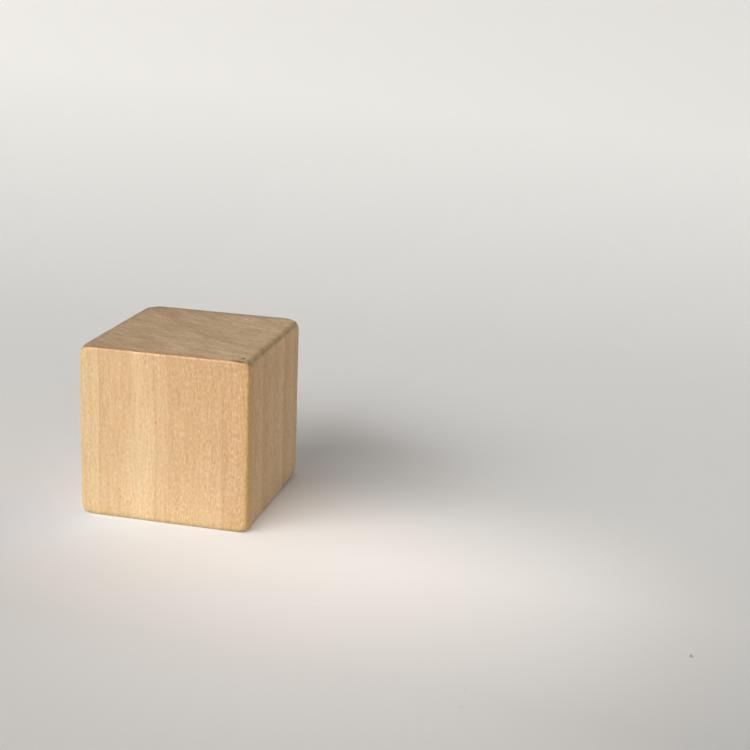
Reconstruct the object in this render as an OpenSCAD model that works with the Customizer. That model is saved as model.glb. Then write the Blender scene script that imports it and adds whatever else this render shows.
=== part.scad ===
// Plain wooden cube, sawn from a square stick and sanded at its edges and corners.
// Sizes are in millimetres, +Z is up and the origin is the centre of the underside.
// The grain runs upright, so the top and the underside are end grain.

/* [Cube] */
// Length of every side
side = 30; // [20:1:50]

/* [Sanded edges and corners] */
// Radius of the four upright edges, which run along the grain
grain_edge_r = 1.1; // [0.6:0.1:2.5]
// Radius of the end-grain edges that run from left to right, which stay crisper
cross_edge_r = 0.4; // [0.2:0.1:2.5]
// Radius of the end-grain edges that run from front to back
depth_edge_r = 1.2; // [0.2:0.1:2.5]
// How far sanding takes each corner down from where a sharp one would be
corner_cut = 0.8; // [0.7:0.1:2]

/* [Hidden] */
$fn = 96;
// Distance from the middle of the cube to its sanded corners
corner_reach = side * sqrt(3) / 2 - corner_cut;

// Square of the full side, with its corners rounded to radius r
module rounded_square(r) {
    square([side, side - 2 * r], center = true);
    square([side - 2 * r, side], center = true);
    for (x = [-1, 1], y = [-1, 1])
        translate([x, y] * (side / 2 - r)) circle(r);
}

// Square stick along Z with that outline, as long as it is wide
module eased_stick(r) {
    linear_extrude(side, center = true) rounded_square(r);
}

// Three crossed sticks share a cube with all twelve edges eased, and a ball takes its corners down
module wooden_cube() {
    color("burlywood")
        translate([0, 0, side / 2])
            intersection() {
                eased_stick(grain_edge_r);
                rotate([90, 0, 0]) eased_stick(depth_edge_r);
                rotate([0, 90, 0]) eased_stick(cross_edge_r);
                sphere(corner_reach);
            }
}

wooden_cube();  // cube
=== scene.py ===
import math
import bpy
import numpy as np
from mathutils import Matrix


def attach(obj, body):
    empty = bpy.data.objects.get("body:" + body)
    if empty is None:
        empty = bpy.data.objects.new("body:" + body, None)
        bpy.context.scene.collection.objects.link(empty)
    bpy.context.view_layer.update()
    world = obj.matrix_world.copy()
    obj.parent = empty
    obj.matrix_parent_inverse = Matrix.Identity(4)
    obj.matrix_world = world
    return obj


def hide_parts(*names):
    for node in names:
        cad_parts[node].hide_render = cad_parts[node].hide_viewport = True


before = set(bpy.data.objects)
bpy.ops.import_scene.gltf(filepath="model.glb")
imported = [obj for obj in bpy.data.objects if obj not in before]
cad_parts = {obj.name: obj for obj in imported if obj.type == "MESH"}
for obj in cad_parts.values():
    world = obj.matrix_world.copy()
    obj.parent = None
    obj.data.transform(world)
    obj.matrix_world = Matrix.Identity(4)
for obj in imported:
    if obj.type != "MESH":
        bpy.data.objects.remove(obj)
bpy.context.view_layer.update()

millimetre = 0.001  # every size below is in millimetres until it goes into a mesh


def addNode(tree, kind, inputs, **settings):
    # One shader node: its settings, then its sockets, each fed by a link or a plain value
    node = tree.nodes.new(kind)
    for name, value in settings.items():
        setattr(node, name, value)
    for socket, value in inputs.items():
        if isinstance(value, bpy.types.NodeSocket):
            tree.links.new(value, node.inputs[socket])
        else:
            node.inputs[socket].default_value = value
    return node


def calc(tree, operation, a, b=0.0, c=0.0):
    # a, b and c joined by one arithmetic step
    return addNode(tree, "ShaderNodeMath", {0: a, 1: b, 2: c}, operation=operation).outputs[0]


def product(tree, *values):
    # All the values multiplied together
    total = values[0]
    for value in values[1:]:
        total = calc(tree, "MULTIPLY", total, value)
    return total


def weightedSum(tree, start, parts):
    # start plus each value times its weight
    total = start
    for value, weight in parts:
        total = calc(tree, "MULTIPLY_ADD", value, weight, total)
    return total


def fade(tree, value, start, end, climb="SMOOTHSTEP"):
    # 0 where the value is at the start, 1 where it is at the end, with an S-shaped or straight climb between
    return addNode(tree, "ShaderNodeMapRange", {0: value, 1: start, 2: end},
                   interpolation_type=climb).outputs[0]


def tinted(tree, colour, tint, share):
    # The colour multiplied by a tint, as far as the share says
    return addNode(tree, "ShaderNodeMix", {0: share, 6: colour, 7: tint}, data_type="RGBA",
                   blend_type="MULTIPLY").outputs[2]


def seenRays(tree):
    # 1 for what the camera sees, also in reflections and through glass, and 0 for all other light
    path = addNode(tree, "ShaderNodeLightPath", {}).outputs
    return calc(tree, "MAXIMUM", path["Is Camera Ray"],
                calc(tree, "MAXIMUM", path["Is Glossy Ray"], path["Is Transmission Ray"]))


def blankMaterial(name):
    material = bpy.data.materials.new(name)
    material.use_nodes = True
    material.node_tree.nodes.clear()
    return material, material.node_tree


def linear(colour):
    # Screen colour from 0 to 255 turned into the light value that a shader wants
    share = np.array(colour) / 255
    light = np.where(share <= 0.04045, share / 12.92, ((share + 0.055) / 1.055) ** 2.4)
    return (*light.tolist(), 1.0)


def meshObject(name, points, quads):
    # Points in millimetres and four-sided faces, shaded smooth
    mesh = bpy.data.meshes.new(name)
    mesh.from_pydata((points * millimetre).tolist(), [], quads.tolist())
    mesh.polygons.foreach_set("use_smooth", np.ones(len(quads), bool))
    mesh.update()
    thing = bpy.data.objects.new(name, mesh)
    bpy.context.collection.objects.link(thing)
    return thing


viewpoint = {
    "place": (76.34, -206.31, 89.01),  # from the middle of the underside
    "heading": 12.0,                   # degrees turned to the left of straight ahead
    "dip": 16.75,                      # degrees below level
    "roll": 2.41,
    "lens": 62.15,
    "sensor": 36.0,
    "nearest": 0.005,                  # metres
    "farthest": 50.0,
}


def setCamera(v):
    data = bpy.data.cameras.new("camera")
    data.lens = v["lens"]
    data.sensor_width = v["sensor"]
    data.clip_start = v["nearest"]
    data.clip_end = v["farthest"]
    camera = bpy.data.objects.new("camera", data)
    bpy.context.collection.objects.link(camera)
    turn = (Matrix.Rotation(math.radians(v["heading"]), 4, "Z")
            @ Matrix.Rotation(math.radians(90 - v["dip"]), 4, "X")
            @ Matrix.Rotation(math.radians(v["roll"]), 4, "Z"))
    camera.matrix_world = Matrix.Translation([c * millimetre for c in v["place"]]) @ turn
    bpy.context.scene.camera = camera


setCamera(viewpoint)
print("camera set")


cubeForm = {
    "side": 30.0,
    "steps": 124,            # grid squares along each side of a face
    "crowding": 0.85,        # 0 spaces the grid lines evenly, 1 draws them in to the edges
    "core": 11.6,            # half-width of the inner block that the skin is cast out from
    "halvings": 36,          # how often the gap round the surface is halved
    "uprightEdges": {        # radius of each upright edge at its foot and at its head
        "left front": (0.58, 1.5), "right front": (0.65, 0.45),
        "left back": (1.3, 1.4), "right back": (1.2, 1.3),
    },
    "endEdges": {            # radius of each edge round the underside and the top, at its two ends
        "front foot": (0.48, 0.55), "back foot": (0.5, 0.5),
        "left foot": (1.1, 1.2), "right foot": (1.1, 1.2),
        "front head": (0.28, 0.17), "back head": (0.2, 0.1),
        "left head": (1.42, 1.45), "right head": (1.1, 1.1),
    },
    "edgeTurn": 1.2,         # length over which one end edge turns into the next at a corner
    "edgeWander": 0.08,      # share by which an edge's radius comes and goes along its length
    "uprightRipple": (9.0, 3),   # length and seed of that wander on the upright edges
    "endRipple": (5.0, 5),       # and on the end edges
    "cornerBlend": 0.9,      # radius that runs each sanded corner out into its edges
    "cornerDepth": {         # how far sanding takes each corner down
        "left front foot": 0.55, "right front foot": 0.52, "left back foot": 0.70, "right back foot": 0.82,
        "left front head": 1.0, "right front head": 0.65, "left back head": 0.95, "right back head": 0.75,
    },
    "faceWave": 0.02,        # depth of the shallow swell that sanding leaves on a face
    "faceRipple": (16.0, 11),    # its length and seed
    "dents": [               # place from the middle of the cube, half-size, depth, strength of the stain
        ((13.32, -12.8, 15.0), (0.27, 0.34, 0.6), 0.22, 1.0),   # a nick in the top
        ((13.3, -14.7, 15.0), (1.6, 0.42, 0.3), 0.03, 0.5),     # a bruise along the front of the top, its stain partly painted shade
        ((-11.5, -13.6, 15.0), (2.4, 0.5, 0.4), 0.0, 0.15),     # smudges near the top's left front corner
        ((-14.7, -9.5, 14.8), (0.6, 3.5, 0.6), 0.0, 0.16),
    ],
}


def gridLine(steps, crowding):
    # Places from -1 to 1: even steps mixed with a sine, which crowds them towards both ends
    t = np.linspace(-1, 1, steps + 1)
    return (1 - crowding) * t + crowding * np.sin(t * math.pi / 2)


def skinLattice(steps):
    # Counts (i, j, k) of each outer point of a cubic lattice, once, and the squares between them.
    # A face holds one count at 0 or at its last value and lets the other two run.
    lines = steps + 1
    u, v = np.meshgrid(np.arange(lines), np.arange(lines), indexing="ij")
    squares = []
    for axis in range(3):
        for end in (0, steps):
            count = np.empty((lines, lines, 3), int)
            count[..., axis] = end
            count[..., (axis + 1) % 3] = u
            count[..., (axis + 2) % 3] = v
            key = count @ np.array((lines * lines, lines, 1))
            quad = np.stack([key[:-1, :-1], key[1:, :-1], key[1:, 1:], key[:-1, 1:]], -1).reshape(-1, 4)
            squares.append(quad if end else quad[:, ::-1])
    keys, quads = np.unique(np.concatenate(squares), return_inverse=True)
    counts = np.stack([keys // (lines * lines), keys // lines % lines, keys % lines], -1)
    return counts, quads.reshape(-1, 4)


def ripple(p, length, seed):
    # Smooth wander between -1 and 1: the mean of sine waves about one length long, in seeded directions
    draw = np.random.default_rng(seed)
    waves = 5
    total = np.zeros(len(p))
    for _ in range(waves):
        heading = draw.normal(size=3)
        heading *= 2 * math.pi / length * draw.uniform(0.7, 1.4) / np.linalg.norm(heading)
        total += np.sin(p @ heading + draw.uniform(0, 2 * math.pi))
    return total / waves


def roundedMeet(a, b, radius):
    # Distance outside two walls that meet in an arc: the greater of the two away from the arc
    arc = np.hypot(np.maximum(a + radius, 0), np.maximum(b + radius, 0)) - radius
    return arc + np.minimum(np.maximum(a, b) + radius, 0)


def edgeRadii(p, f):
    # The radii of the upright edge and the end edge nearest to each point, run evenly from end to end
    share = p / f["side"] + 0.5
    right, back, head = (p > 0).astype(int).T
    upright, across, along = np.empty((3, 2, 2, 2))
    for name, ends in f["uprightEdges"].items():
        upright[int("right" in name), int("back" in name)] = ends
    for name, ends in f["endEdges"].items():
        if "left" in name or "right" in name:
            along[int("right" in name), int("head" in name)] = ends
        else:
            across[int("back" in name), int("head" in name)] = ends

    def between(ends, part):
        return ends[:, 0] + (ends[:, 1] - ends[:, 0]) * part

    grainEdge = between(upright[right, back], share[:, 2])
    acrossEdge = between(across[back, head], share[:, 0])
    alongEdge = between(along[right, head], share[:, 1])
    turn = np.clip(0.5 + (np.abs(p[:, 0]) - np.abs(p[:, 1])) / f["edgeTurn"], 0, 1)
    endEdge = acrossEdge + (alongEdge - acrossEdge) * turn ** 2 * (3 - 2 * turn)
    return (grainEdge * (1 + f["edgeWander"] * ripple(p, *f["uprightRipple"])),
            endEdge * (1 + f["edgeWander"] * ripple(p, *f["endRipple"])))


def cornerDepths(p, f):
    # Each point's own corner, picked by the signs of its place
    table = np.zeros((2, 2, 2))
    for name, depth in f["cornerDepth"].items():
        table[int("right" in name), int("back" in name), int("head" in name)] = depth
    right, back, head = (p > 0).astype(int).T
    return table[right, back, head]


def outside(p, f, depth, grainEdge, endEdge):
    # Distance outside the sanded cube: its four sides meet in the upright edges, the two ends
    # cut those off, and a slanting plane takes each corner down
    a, b, c = (np.abs(p) - f["side"] / 2).T
    sides = roundedMeet(a, b, grainEdge)
    block = roundedMeet(sides, c, endEdge)
    slant = (a + b + c) / math.sqrt(3) + depth
    return roundedMeet(block, slant, f["cornerBlend"])


def cubeSkin(f):
    # A point on the sharp cube is drawn in along the ray from the nearest point of the core,
    # as far as the surface where the distance outside is nothing. Halving the gap finds it.
    # Dents are bell-shaped pits in that skin, and each leaves its stain.
    counts, quads = skinLattice(f["steps"])
    sharp = gridLine(f["steps"], f["crowding"])[counts] * f["side"] / 2
    core = np.clip(sharp, -f["core"], f["core"])
    depth = cornerDepths(sharp, f)
    grainEdge, endEdge = edgeRadii(sharp, f)
    near, far = np.zeros(len(sharp)), np.ones(len(sharp))
    for _ in range(f["halvings"]):
        middle = (near + far) / 2
        out = outside(core + (sharp - core) * middle[:, None], f, depth, grainEdge, endEdge) > 0
        far = np.where(out, middle, far)
        near = np.where(out, near, middle)
    points = core + (sharp - core) * near[:, None]
    ray = (sharp - core) / np.linalg.norm(sharp - core, axis=1)[:, None]
    swell = f["faceWave"] * (0.5 + 0.5 * ripple(points, *f["faceRipple"]))
    pit, stain = 0, 0
    for place, size, depth, strength in f["dents"]:
        share = np.exp(-(((points - place) / size) ** 2).sum(axis=1))
        pit = pit + depth * share
        stain = stain + strength * share
    points -= ray * (swell + pit)[:, None]
    points[:, 2] += f["side"] / 2
    return points, quads, stain


points, quads, stain = cubeSkin(cubeForm)
cube = meshObject("wooden_cube", points, quads)
print("cube skin:", len(points), "points,", len(quads), "squares")


wearAndPaintedLight = {
    "endFacing": {"foot": 0.7, "head": 0.32, "blend": 0.25},  # how squarely end grain faces up or down
    "easedFacing": 0.12,     # skin that has turned so far from its face, as 1 less the cosine, is fully eased
    "lipHighlightDepth": 0.26,        # depth of the painted highlight line under the top
    "lipHighlightPart": (0.7, 40.0),  # its share in the middle, and the run to the right that adds a whole share
    "footShadeHeight": 0.43,      # height of the painted shade line at the foot
    "rightEdgeShadeReach": 2.0,   # how far back from the front the painted shade on the right edge goes
    "stain": (1.7, 0.1),     # a stain's strength is multiplied by the first and loses the second
    "bands": {               # a mark's strength at no distance, and the distance over which it loses 1
        "sideEdgeTint": (1.0, 1.2), "lipHighlight": (1.0, 0.25), "foot": (1.5, 0.17), "footShadeBand": (1.25, 1.7),
        "rim": (1.6, 1.3), "rightRim": (1.25, 1.3), "frontRim": (1.4, 1.0), "rightEdgeShade": (1.3, 0.9),
    },
}


def woodMarksAndPaintedLight(points, facing, stain, f, w):
    # Masks from 0 to 1 on the wood: its end grain, eased edges, dent stains and tints near its edges, among
    # them painted shade at the foot and the right edge and a painted highlight under the top. Bands fade with
    # the distance from an edge, each kept to its own side of it
    half = f["side"] / 2
    inward = half - np.abs(points - (0, 0, half))  # how far each point lies below each pair of faces
    fromEdge = np.sort(inward, axis=1)[:, 1]
    high = points[:, 2] > half
    fromFront = np.where(points[:, 1] < 0, inward[:, 1], half)
    fromRight = np.where(points[:, 0] > 0, inward[:, 0], half)
    fromFoot = np.where(high, half, np.maximum(inward[:, 2], inward[:, :2].min(axis=1)))
    head = high & (inward[:, 2] < inward[:, :2].max(axis=1))
    limit = np.where(high, w["endFacing"]["head"], w["endFacing"]["foot"])
    endGrain = np.clip((facing[:, 2] - limit) / w["endFacing"]["blend"], 0, 1)
    sideGrain = 1 - endGrain
    lipHighlightShare = np.clip(w["lipHighlightPart"][0] + points[:, 0] / w["lipHighlightPart"][1], 0, 1)

    def band(name, distance):
        peak, width = w["bands"][name]
        return np.clip(peak - distance / width, 0, 1)

    return {
        "endGrain": endGrain,
        "eased": np.clip((1 - facing.max(axis=1)) / w["easedFacing"], 0, 1),
        # darker and warmer along the side edges below the top: painted shade at the foot and along the right
        # edge
        "sideEdgeTint": band("sideEdgeTint", fromEdge) * sideGrain * ~head,
        # painted highlight: a pale line on the sides just under the top
        "lipHighlight": band("lipHighlight", np.abs(inward[:, 2] - w["lipHighlightDepth"])) * sideGrain * head * lipHighlightShare,
        # painted shade: a dark line low on the sides, where they turn under towards the floor
        "foot": band("foot", np.abs(points[:, 2] - w["footShadeHeight"])),
        # painted shade: the sides darker and warmer within about two millimetres of the foot
        "footShadeBand": band("footShadeBand", fromFoot),
        "rim": band("rim", fromEdge) * endGrain * (np.minimum(fromFront, fromRight) > fromEdge),
        "rightRim": band("rightRim", fromRight) * endGrain,
        "frontRim": band("frontRim", fromFront) * endGrain * high,
        # painted shade: darker and warmer where the right side meets the front
        "rightEdgeShade": band("rightEdgeShade", fromRight) * sideGrain * (fromFront < w["rightEdgeShadeReach"]),
        "nicked": np.clip(stain * w["stain"][0] - w["stain"][1], 0, 1),
    }


facing = np.empty(points.size)
cube.data.vertex_normals.foreach_get("vector", facing)
facing = np.abs(facing.reshape(-1, 3))
marks = woodMarksAndPaintedLight(points, facing, stain, cubeForm, wearAndPaintedLight)
for name, values in marks.items():
    mark = cube.data.attributes.new(name, "FLOAT", "POINT")
    mark.data.foreach_set("value", values)
print("marks laid:", len(marks))


wood = {
    "pith": (37.8, 50.5),     # the middle of the tree, which the growth rings run round
    "lean": 0.5,              # degrees by which the rings lean to the left on their way down
    "ringWander": 1.0,        # how widely a ring strays from a true circle
    "arcRadius": 70.0,        # radius at which turns round the pith are counted in millimetres
    "firstRing": 40.0,        # inner radius of the first ring below
    "rings": [                # outer radius, tones in even steps outwards, depth of the line that ends it
        (45.6, (0.66, 0.56, 0.46, 0.44), 0.12),
        (50.8, (0.60, 0.52, 0.43, 0.42), 0.12),
        (56.2, (0.62, 0.60, 0.50, 0.45), 0.12),
        (62.2, (0.56, 0.50, 0.38, 0.37), 0.12),
        (67.5, (0.54, 0.50, 0.44, 0.43), 0.12),
        (71.2, (0.41, 0.41, 0.395, 0.39), 0.06),
        (75.2, (0.47, 0.46, 0.435, 0.44, 0.44), 0.01),
        (76.42, (0.53, 0.55, 0.56), 0.13),
        (81.82, (0.63, 0.68, 0.69, 0.57, 0.49, 0.48, 0.48, 0.43), 0.10),
        (86.0, (0.62, 0.56, 0.53), 0.12),
    ],
    "ringLine": (0.2, 0.14, 0.05),  # how far from its outer edge a ring's line starts, is full and ends
    "paintedFootLights": [               # painted light from the floor: radius, and how much paler the side is at its foot than at its head
        (40, 0.24), (66, 0.24), (69, 0.12), (71.1, 0.12), (71.3, 0.34), (75.1, 0.40),
        (75.3, 0.10), (76.3, 0.10), (76.6, 0.19), (81.7, 0.17), (82, 0.06), (86, 0.06),
    ],
    "paintedFootLightMiddle": 15.0,      # the height where that painted light is nothing
    "paintedFootLightTop": 9.0,          # how far above it the side stops growing darker
    "paintedPaleFoot": (9.5, 6.0),   # painted light from the floor: heights between which the side turns a little paler on the way down
    "endTones": [             # radius and tone of each pale or dark arc on the end grain
        (40, 0.49), (45, 0.47), (53, 0.51), (56.5, 0.48), (57.9, 0.52), (61.9, 0.42), (63.6, 0.51),
        (66, 0.48), (67.2, 0.56), (68.5, 0.50), (70.2, 0.54), (72.1, 0.44), (74.1, 0.53),
        (76.1, 0.48), (76.9, 0.44), (79, 0.51), (80.5, 0.40), (82, 0.45), (86, 0.47),
    ],
    "patterns": {             # turns in each millimetre along three axes, detail, roughness and seed
        "wander": ((0.06, 0.06, 0.025), 1.0, 0.5, 4.0),
        "flecks": ((3.6, 3.6, 1.35), 2.0, 0.6, 1.0),
        "patches": ((0.3, 0.3, 0.12), 2.0, 0.5, 11.0),
        "threads": ((2.9, 2.9, 0.3), 2.0, 0.6, 8.0),
        "streaks": ((1.9, 1.2, 0.07), 3.0, 0.6, 2.0),
        "clouds": ((0.22, 0.22, 0.09), 2.0, 0.5, 3.0),
        "arcs": ((0.65, 0.12, 0.3), 4.0, 0.7, 5.0),
        "vessels": ((1.8, 1.8, 1.0), 2.0, 0.6, 6.0),
        "saw": ((0.18, 0.9, 0.3), 4.0, 0.65, 7.0),
        "warmth": ((0.5, 0.5, 0.2), 2.0, 0.6, 10.0),
        "patchy": ((1.1, 1.1, 0.5), 2.0, 0.6, 9.0),
    },
    "fleckPatches": 2.0,      # how strongly the flecks come and go in patches
    "fleckRight": 0.012,      # how much bolder they grow with each millimetre to the right
    "fleckBite": (2.5, 0.75),    # a fleck's strength: the first times its own size, plus the second
    # On the sides, painted light from the floor makes them paler towards the foot and darker near the top
    "sideWeights": {"flecks": 1.12, "threads": 0.42, "streaks": 0.40, "clouds": 0.16, "foot": 0.05,
                    # Painted shade also darkens the sides a little to the right
                    "paintedFootLight": 1 / cubeForm["side"], "right": -0.0033},
    "endWeights": {"arcs": 0.6, "vessels": 0.5, "saw": 0.6, "clouds": 0.15, "right": 0.0035, "back": -0.0015},
    "reliefWeights": {"flecks": 0.6, "streaks": 0.5, "vessels": 0.2},
    "sawTurn": 18.0,          # degrees that the saw marks are turned on the end grain
    "outerTint": (0.971, 1.0, 0.985),  # the outermost ring, a little greener
    "palette": {0.0: (204, 158, 112), 0.35: (220, 180, 134), 0.5: (228, 190, 144),
                0.85: (243, 211, 166), 1.0: (250, 222, 179)},
    "endPalette": {0.0: (136, 101, 67), 0.5: (192, 160, 123), 1.0: (241, 211, 176)},
    "warmthReach": (0.06, -0.09),  # how far the slow drift of colour raises red and blue
    "patchyReach": (1.3, 0.9),     # how patchy the tints below are, and their mean strength
    "edgeTints": [            # mark, strength and what its colour is multiplied by
        ("eased", 0.7, (0.93, 0.96, 0.82)),
        # painted shade along the side edges, at the foot and the right edge
        ("sideEdgeTint", 0.9, (0.97, 0.93, 0.80)),
        # painted highlight under the top
        ("lipHighlight", 1.0, (1.27, 1.40, 1.54)),
        # painted shade: a dark line at the foot
        ("foot", 1.0, (0.79, 0.83, 1.03)),
        # painted shade near the foot
        ("footShadeBand", 1.0, (0.92, 0.945, 0.87)),
        ("rim", 1.0, (0.73, 0.81, 0.89)),
        ("rightRim", 0.8, (0.98, 0.95, 0.86)),
        ("frontRim", 0.9, (0.95, 0.79, 0.60)),
        # painted shade at the right front edge
        ("rightEdgeShade", 0.9, (0.99, 0.945, 0.85)),
    ],
    "stainColour": (66, 40, 18),
    "stainStrength": 0.9,
    "roughness": 0.62,
    "gloss": 0.3,
    "reliefDepth": 0.04,      # millimetres
    "reliefStrength": 0.5,
}


def ramp(tree, fac, stops):
    # A colour ramp through the stops, each a place from 0 to 1 and a screen colour
    node = addNode(tree, "ShaderNodeValToRGB", {0: fac})
    spots = node.color_ramp.elements
    spots.remove(spots[1])
    for place in list(stops)[1:]:
        spots.new(place)
    for spot, (place, colour) in zip(spots, stops.items()):
        spot.position = place
        spot.color = linear(colour)
    return node.outputs[0]


def toneCurve(tree, value, low, high, stops):
    # A number looked up along straight lines between the stops, held in the points of a float curve
    node = addNode(tree, "ShaderNodeFloatCurve", {"Value": fade(tree, value, low, high, "LINEAR")})
    curve = node.mapping.curves[0]
    places = [((place - low) / (high - low), tone) for place, tone in stops]
    curve.points[0].location = places[0]
    curve.points[1].location = places[-1]
    for place in places[1:-1]:
        curve.points.new(*place)
    for point in curve.points:
        point.handle_type = "VECTOR"
    node.mapping.update()
    return node.outputs[0]


def ringTone(tree, radius, w):
    # Each ring has its own curve from its inner to its outer edge, so that it can end in a fine dark line
    total = w["rings"][0][1][0]
    start = w["firstRing"]
    lineStart, lineFull, lineEnd = w["ringLine"]
    for end, tones, line in w["rings"]:
        stops = list(zip(np.linspace(start, end - lineStart, len(tones)).tolist(), tones))
        stops += [(end - lineFull, tones[-1] - line), (end - lineEnd, tones[-1] - line)]
        beyond = calc(tree, "GREATER_THAN", radius, start)
        tone = toneCurve(tree, radius, start, end, stops)
        total = addNode(tree, "ShaderNodeMix", {0: beyond, 2: total, 3: tone}).outputs[0]
        start = end
    return total


def grain(tree, place, scale, detail, roughness, seed):
    # Noise around nothing: each axis of the place is stretched by its own scale, and the seed shifts it
    stretched = addNode(tree, "ShaderNodeVectorMath", {0: place, 1: scale, 2: (seed, seed * 1.7, seed * 2.3)},
                        operation="MULTIPLY_ADD").outputs[0]
    noise = addNode(tree, "ShaderNodeTexNoise", {"Vector": stretched, "Scale": 1.0, "Detail": detail,
                                                 "Roughness": roughness}).outputs[0]
    return calc(tree, "SUBTRACT", noise, 0.5)


def woodMaterial(w):
    material, tree = blankMaterial("sanded_wood")
    here = addNode(tree, "ShaderNodeTexCoord", {}).outputs["Object"]
    # Millimetres from the pith, with the rings' lean taken out
    stick = addNode(tree, "ShaderNodeMapping", {
        "Vector": here, "Scale": (1 / millimetre,) * 3, "Location": (-w["pith"][0], -w["pith"][1], 0),
        "Rotation": (0, math.radians(w["lean"]), 0)}).outputs[0]
    x, y, z = addNode(tree, "ShaderNodeSeparateXYZ", {0: stick}).outputs

    def pattern(name, place=stick):
        return grain(tree, place, *w["patterns"][name])

    # The rings: distance from the pith, a little astray, and millimetres along a ring
    flat = addNode(tree, "ShaderNodeVectorMath", {0: stick, 1: (1, 1, 0)}, operation="MULTIPLY").outputs[0]
    reach = addNode(tree, "ShaderNodeVectorMath", {0: flat}, operation="LENGTH").outputs["Value"]
    radius = calc(tree, "MULTIPLY_ADD", pattern("wander"), w["ringWander"], reach)
    around = calc(tree, "MULTIPLY", calc(tree, "ARCTAN2", y, x), w["arcRadius"])
    ringPlace = addNode(tree, "ShaderNodeCombineXYZ", {0: radius, 1: around, 2: z}).outputs[0]

    # Along the grain: short flecks that come and go in patches and grow bolder to the right, longer
    # streaks and threads, and painted light from the floor that makes the sides paler towards the foot
    right = calc(tree, "ADD", x, w["pith"][0])  # millimetres to the right of the middle
    back = calc(tree, "ADD", y, w["pith"][1])
    flecks = pattern("flecks")
    boldness = weightedSum(tree, 1.0, [(pattern("patches"), w["fleckPatches"]), (right, w["fleckRight"])])
    bite = calc(tree, "MULTIPLY_ADD", calc(tree, "ABSOLUTE", flecks), *w["fleckBite"])
    fromMiddle = calc(tree, "MAXIMUM", calc(tree, "SUBTRACT", w["paintedFootLightMiddle"], z), -w["paintedFootLightTop"])
    paintedFootLight = toneCurve(tree, radius, w["paintedFootLights"][0][0], w["paintedFootLights"][-1][0], w["paintedFootLights"])
    # Across the grain: arcs that follow the rings, cut ends of the vessels and straight saw marks
    turned = addNode(tree, "ShaderNodeMapping", {
        "Vector": stick, "Rotation": (0, 0, math.radians(w["sawTurn"]))}).outputs[0]
    parts = {
        "flecks": product(tree, flecks, calc(tree, "MULTIPLY", boldness, bite)),
        "threads": pattern("threads"),
        "streaks": pattern("streaks", ringPlace),
        "clouds": pattern("clouds"),
        "foot": fade(tree, z, *w["paintedPaleFoot"]),
        "paintedFootLight": product(tree, fromMiddle, paintedFootLight),
        "arcs": pattern("arcs", ringPlace),
        "vessels": pattern("vessels"),
        "saw": pattern("saw", turned),
        "right": right,
        "back": back,
    }

    def blend(start, weights):
        return weightedSum(tree, start, [(parts[name], weight) for name, weight in weights.items()])

    endCurve = toneCurve(tree, radius, w["endTones"][0][0], w["endTones"][-1][0], w["endTones"])
    sideColour = ramp(tree, blend(ringTone(tree, radius, w), w["sideWeights"]), w["palette"])
    endColour = ramp(tree, blend(endCurve, w["endWeights"]), w["endPalette"])

    marks = {name: addNode(tree, "ShaderNodeAttribute", {}, attribute_name=name).outputs["Fac"]
             for name in ("endGrain", "nicked", *(tint[0] for tint in w["edgeTints"]))}
    colour = addNode(tree, "ShaderNodeMix", {0: marks["endGrain"], 6: sideColour, 7: endColour},
                     data_type="RGBA").outputs[2]
    outermost = calc(tree, "GREATER_THAN", radius, w["rings"][-2][0])
    colour = tinted(tree, colour, (*w["outerTint"], 1), outermost)
    # A slow drift between pinkish and yellowish
    warmth = pattern("warmth")
    cast = addNode(tree, "ShaderNodeCombineXYZ", {
        0: calc(tree, "MULTIPLY_ADD", warmth, w["warmthReach"][0], 1.0), 1: 1.0,
        2: calc(tree, "MULTIPLY_ADD", warmth, w["warmthReach"][1], 1.0)}).outputs[0]
    colour = addNode(tree, "ShaderNodeVectorMath", {0: colour, 1: cast}, operation="MULTIPLY").outputs[0]
    # Tints that darken the wood near its edges, in patches; at the foot and the right edge they are painted
    # shade, and the pale line under the top is a painted highlight
    patchy = calc(tree, "MULTIPLY_ADD", pattern("patchy"), *w["patchyReach"])
    for name, strength, tint in w["edgeTints"]:
        share = product(tree, marks[name], calc(tree, "MULTIPLY", patchy, strength))
        colour = tinted(tree, colour, (*tint, 1), share)
    stained = calc(tree, "MULTIPLY", marks["nicked"], w["stainStrength"])
    colour = addNode(tree, "ShaderNodeMix", {0: stained, 6: colour, 7: linear(w["stainColour"])},
                     data_type="RGBA").outputs[2]
    bump = addNode(tree, "ShaderNodeBump", {
        "Strength": w["reliefStrength"], "Distance": w["reliefDepth"] * millimetre,
        "Height": blend(0.0, w["reliefWeights"])}).outputs[0]
    shader = addNode(tree, "ShaderNodeBsdfPrincipled", {
        "Base Color": colour, "Roughness": w["roughness"], "Specular IOR Level": w["gloss"], "Normal": bump})
    addNode(tree, "ShaderNodeOutputMaterial", {0: shader.outputs[0]})
    return material


cube.data.materials.append(woodMaterial(wood))
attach(cube, "root")
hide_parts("cube")
print("wood finished")


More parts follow.
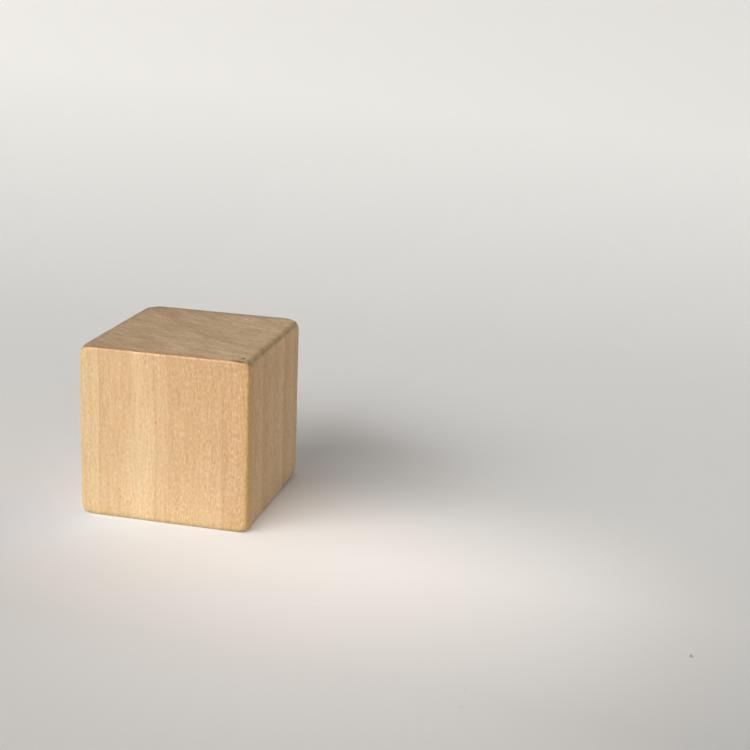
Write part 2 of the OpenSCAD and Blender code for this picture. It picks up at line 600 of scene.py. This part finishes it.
sweepForm = {
    "front": -900.0,         # where the paper starts, on the near side
    "bend": 110.0,           # where it begins to rise behind the cube
    "bendRadius": 450.0,
    "rise": 80.0,            # degrees that it turns through
    "halfWidth": 1800.0,
    "levelSteps": 20,
    "riseSteps": 60,
    "columns": 30,
    "colour": (255, 253, 250),
    "roughness": 0.9,
    "gloss": 0.1,
    "plainShade": 0.887,     # share of the colour that all other light meets
    "slant": 0.1,            # how far to the right the same shade comes nearer, for each millimetre
    "shades": [              # painted shade that the camera sees: distance behind the middle of the cube and share of the colour there
        (-80, 0.72), (-50, 0.69), (-15, 0.82), (60, 0.83), (110, 0.86), (200, 0.91), (300, 0.985), (390, 0.90),
    ],
    "dim": {"from": 60.0, "to": 95.0, "share": 0.07},  # painted shade: darker to the right, in front of the cube
    "specks": [              # place, half-size and darkness of each fleck of dust
        ((87.49, -35.82), (0.24, 0.42), 0.5),
        ((32.72, -37.32), (0.2, 0.3), 0.12),
        ((65.06, -30.96), (0.2, 0.3), 0.10),
        ((58.07, -54.14), (0.18, 0.5), 0.08),
        ((58.14, -58.45), (0.35, 0.25), 0.07),
    ],
    "speckRim": (1.6, 0.4),  # squares of the distance, in half-sizes, where a fleck starts and is full
    "pool": {                # painted pool of warm light in front of the cube, a glow that the camera sees
        "x": 31.0, "width": 80.0, "near": -100.0, "far": -16.0, "fallFrom": -24.0, "fallTo": 20.0,
        "leftFrom": -10.0, "leftPull": 1.2, "strength": 0.305, "tint": (0.965, 0.835, 0.73),
    },
    "contact": {             # painted light: a glow that lightens the shadow under the front of the cube, at each distance
        "stops": [(-15.9, 0), (-15.5, 0.25), (-15.1, 1), (-14.2, 1), (-14.0, 0)],
        "ends": (14.4, 12.8), "strength": 0.17, "slope": -0.0035, "tint": (0.80, 0.71, 0.58),
    },
    "cool": {                # painted light: a cooler tint that weakens the wood's warm glow on the paper round the left of the cube
        "from": 26.0, "to": 4.0, "xFrom": 12.0, "xTo": -12.0, "tint": (1.0, 1.03, 1.10),
    },
    "apron": {               # painted light: a tint of the wood's glow on the paper close in front of the cube
        "from": -28.0, "to": -16.0, "endFrom": -10.0, "endTo": -14.5, "widthFrom": 17.5, "widthTo": 11.0,
        "left": (1.0, 1.085, 1.095), "right": (0.93, 0.995, 1.08),
    },
}


def sweepPoints(f):
    # A profile carried across the width: level, then an arc that rises
    level = np.linspace(f["front"], f["bend"], f["levelSteps"])[:-1]
    turn = np.radians(np.linspace(0, f["rise"], f["riseSteps"]))
    y = np.concatenate([level, f["bend"] + f["bendRadius"] * np.sin(turn)])
    z = np.concatenate([level * 0, f["bendRadius"] * (1 - np.cos(turn))])
    x = np.linspace(-f["halfWidth"], f["halfWidth"], f["columns"])
    grid = np.stack([np.repeat(x, len(y)), np.tile(y, len(x)), np.tile(z, len(x))], -1)
    rows = len(y)
    first = (np.arange(len(x) - 1)[:, None] * rows + np.arange(rows - 1)).ravel()
    quads = np.stack([first, first + rows, first + rows + 1, first + 1], -1)
    return grid, quads


paper = meshObject("paper_sweep", *sweepPoints(sweepForm))


def poolFall(tree, x, y, pool):
    # The painted pool of light ends a little behind the front of the cube, and sooner to the left of it
    left = calc(tree, "MAXIMUM", calc(tree, "SUBTRACT", pool["leftFrom"], x), 0.0)
    reach = calc(tree, "MULTIPLY_ADD", left, pool["leftPull"], y)
    return fade(tree, reach, pool["fallTo"], pool["fallFrom"])


def paperShade(tree, x, y, fall, f):
    # The painted shade follows the distance behind the cube and is dimmer far to the right in front of it.
    # Each fleck of dust is an oval that darkens it.
    slanted = calc(tree, "MULTIPLY_ADD", x, f["slant"], y)
    shade = toneCurve(tree, slanted, f["shades"][0][0], f["shades"][-1][0], f["shades"])
    dim = f["dim"]
    dimmed = calc(tree, "MULTIPLY", fade(tree, x, dim["from"], dim["to"]), fall)
    shade = product(tree, shade, calc(tree, "MULTIPLY_ADD", dimmed, -dim["share"], 1.0))
    for place, size, darkness in f["specks"]:
        offset = calc(tree, "MULTIPLY", calc(tree, "SUBTRACT", x, place[0]), 1 / size[0])
        depth = calc(tree, "MULTIPLY", calc(tree, "SUBTRACT", y, place[1]), 1 / size[1])
        reach = calc(tree, "MULTIPLY_ADD", offset, offset, calc(tree, "MULTIPLY", depth, depth))
        speck = fade(tree, reach, *f["speckRim"], "LINEAR")
        shade = product(tree, shade, calc(tree, "MULTIPLY_ADD", speck, -darkness, 1.0))
    return shade


def paperTint(tree, x, y, seen, colour, f):
    # Painted light: the wood's warm glow on the paper is made weaker to the left, by a cooler tint close to
    # the cube
    cool, apron = f["cool"], f["apron"]
    sideways = calc(tree, "ABSOLUTE", x)
    square = calc(tree, "MAXIMUM", sideways, calc(tree, "ABSOLUTE", y))
    aside = calc(tree, "SUBTRACT", square, cubeForm["side"] / 2)
    leftward = fade(tree, x, cool["xFrom"], cool["xTo"])
    close = product(tree, fade(tree, aside, cool["from"], cool["to"]), leftward, seen)
    colour = tinted(tree, colour, (*cool["tint"], 1), close)
    # Close in front of the cube another painted tint of the wood's glow, which changes from left to right,
    # fades out on all sides
    inFront = product(tree, fade(tree, y, apron["from"], apron["to"]),
                      fade(tree, y, apron["endFrom"], apron["endTo"]),
                      fade(tree, sideways, apron["widthFrom"], apron["widthTo"]), seen)
    apronTint = addNode(tree, "ShaderNodeMix", {0: leftward, 6: (*apron["right"], 1), 7: (*apron["left"], 1)},
                        data_type="RGBA").outputs[2]
    return tinted(tree, colour, apronTint, inFront)


def paperGlow(tree, x, y, fall, seen, f):
    # Painted light: a warm pool in front of the cube, weaker to its sides and towards the camera, and a thin
    # line of light under the front of the cube, a little weaker to the right; both are glows that the camera
    # sees on the paper
    pool, contact = f["pool"], f["contact"]
    away = calc(tree, "ABSOLUTE", calc(tree, "SUBTRACT", x, pool["x"]))
    glow = product(tree, fade(tree, away, pool["width"], 0.0), fade(tree, y, pool["near"], pool["far"]),
                   fall, seen, pool["strength"])
    line = toneCurve(tree, y, contact["stops"][0][0], contact["stops"][-1][0], contact["stops"])
    ends = fade(tree, calc(tree, "ABSOLUTE", x), *contact["ends"], "LINEAR")
    strength = calc(tree, "MULTIPLY_ADD", x, contact["slope"], contact["strength"])
    under = product(tree, line, ends, seen, strength)
    total = [calc(tree, "MULTIPLY_ADD", glow, a, calc(tree, "MULTIPLY", under, b))
             for a, b in zip(pool["tint"], contact["tint"])]
    return addNode(tree, "ShaderNodeCombineXYZ", dict(enumerate(total))).outputs[0]


def paperMaterial(f):
    # The camera sees paper that is shaded, tinted and lit by where it lies. All other light meets
    # paper of one plain shade.
    material, tree = blankMaterial("white_paper")
    here = addNode(tree, "ShaderNodeTexCoord", {}).outputs["Object"]
    x, y = [calc(tree, "MULTIPLY", part, 1 / millimetre)
            for part in addNode(tree, "ShaderNodeSeparateXYZ", {0: here}).outputs[:2]]
    seen = seenRays(tree)
    fall = poolFall(tree, x, y, f["pool"])
    shade = addNode(tree, "ShaderNodeMix", {
        0: seen, 2: f["plainShade"], 3: paperShade(tree, x, y, fall, f)}).outputs[0]
    colour = addNode(tree, "ShaderNodeVectorMath", {0: linear(f["colour"])[:3], "Scale": shade},
                     operation="SCALE").outputs[0]
    shader = addNode(tree, "ShaderNodeBsdfPrincipled", {
        "Base Color": paperTint(tree, x, y, seen, colour, f), "Roughness": f["roughness"],
        "Specular IOR Level": f["gloss"], "Emission Color": paperGlow(tree, x, y, fall, seen, f),
        "Emission Strength": 1.0})
    addNode(tree, "ShaderNodeOutputMaterial", {0: shader.outputs[0]})
    return material


paper.data.materials.append(paperMaterial(sweepForm))
print("paper laid")


light = {
    "side": 33.0,         # degrees that the lamp stands to the left of straight ahead of the front face
    "height": 34.0,       # degrees above level
    "distance": 3000.0,
    "width": 3100.0,
    "depth": 1300.0,
    "strength": 0.88,     # 1 shows a colour as it is written where the lamp alone lights it squarely
    "tint": (1.0, 0.985, 0.96),
    "room": 0.28,         # brightness of the room all round
    "far": 0.50,          # and where the camera sees it, past the edge of the paper
    "roomTint": (0.98, 0.99, 1.0),
}


def setLights(v):
    # One wide lamp that looks at the middle of the cube, and an even glow all round
    side, height = math.radians(v["side"]), math.radians(v["height"])
    distance = v["distance"] * millimetre
    lamp = bpy.data.lights.new("window_lamp", "AREA")
    lamp.shape = "RECTANGLE"
    lamp.size = v["width"] * millimetre
    lamp.size_y = v["depth"] * millimetre
    lamp.energy = v["strength"] * math.pi ** 2 * distance ** 2
    lamp.color = v["tint"]
    thing = bpy.data.objects.new("window_lamp", lamp)
    bpy.context.collection.objects.link(thing)
    turn = Matrix.Rotation(-side, 4, "Z") @ Matrix.Rotation(math.pi / 2 - height, 4, "X")
    middle = Matrix.Translation((0, 0, cubeForm["side"] / 2 * millimetre))
    thing.matrix_world = middle @ turn @ Matrix.Translation((0, 0, distance))
    world = bpy.data.worlds.new("room")
    world.use_nodes = True
    tree = world.node_tree
    tree.nodes.clear()
    strength = addNode(tree, "ShaderNodeMix", {0: seenRays(tree), 2: v["room"], 3: v["far"]}).outputs[0]
    glow = addNode(tree, "ShaderNodeBackground", {"Color": (*v["roomTint"], 1), "Strength": strength})
    addNode(tree, "ShaderNodeOutputWorld", {0: glow.outputs[0]})
    bpy.context.scene.world = world


setLights(light)
bpy.context.scene.view_settings.view_transform = "Standard"
print("lights set")
